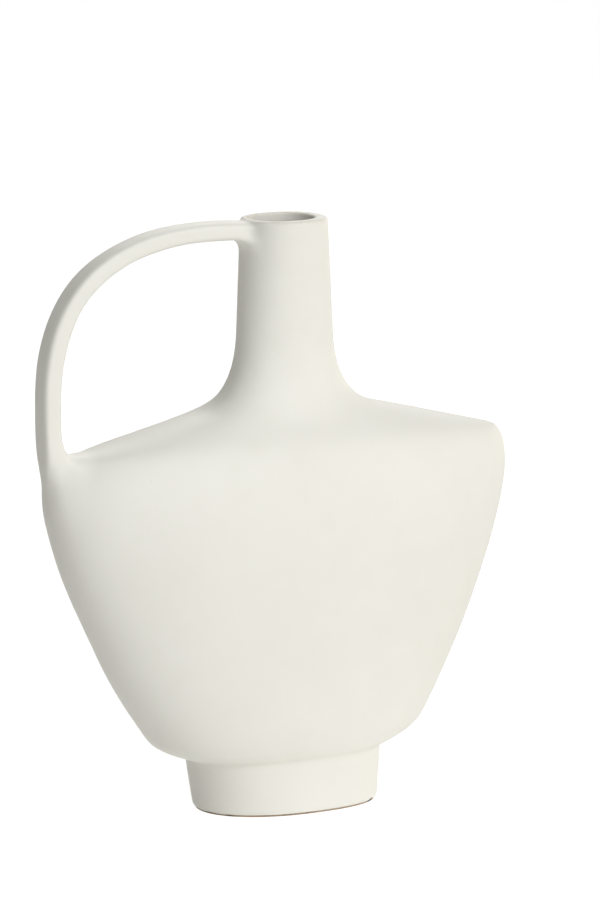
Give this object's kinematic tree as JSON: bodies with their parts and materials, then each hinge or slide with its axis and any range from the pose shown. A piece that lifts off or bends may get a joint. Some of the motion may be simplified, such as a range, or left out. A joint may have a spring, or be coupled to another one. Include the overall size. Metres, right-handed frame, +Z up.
{
  "type": "vase",
  "caption": "Flattened ceramic vase: low oval foot, broad shoulders, slim tapering neck with a rounded lip, and a strap handle from neck to shoulder. Matt off-white glaze.",
  "frame": {"origin": "on the ground, under the middle of the overall width and depth, handle included", "axes": "+Z up, +X to the right seen from the front (the handle is on the -X side), +Y towards the back; the wide face looks along -Y"},
  "size_m": [0.3038, 0.0944, 0.35],
  "materials": {
    "matt_white_glaze": "matt off-white glaze",
    "bare_clay": "bare fired clay"
  },
  "bodies": {
    "root": {"foot_ring": "bare_clay", "base_slab": "bare_clay", "foot_wall": "matt_white_glaze", "body_front": "matt_white_glaze", "body_back": "matt_white_glaze", "neck": "matt_white_glaze", "handle": "matt_white_glaze"}
  },
  "joints": []
}
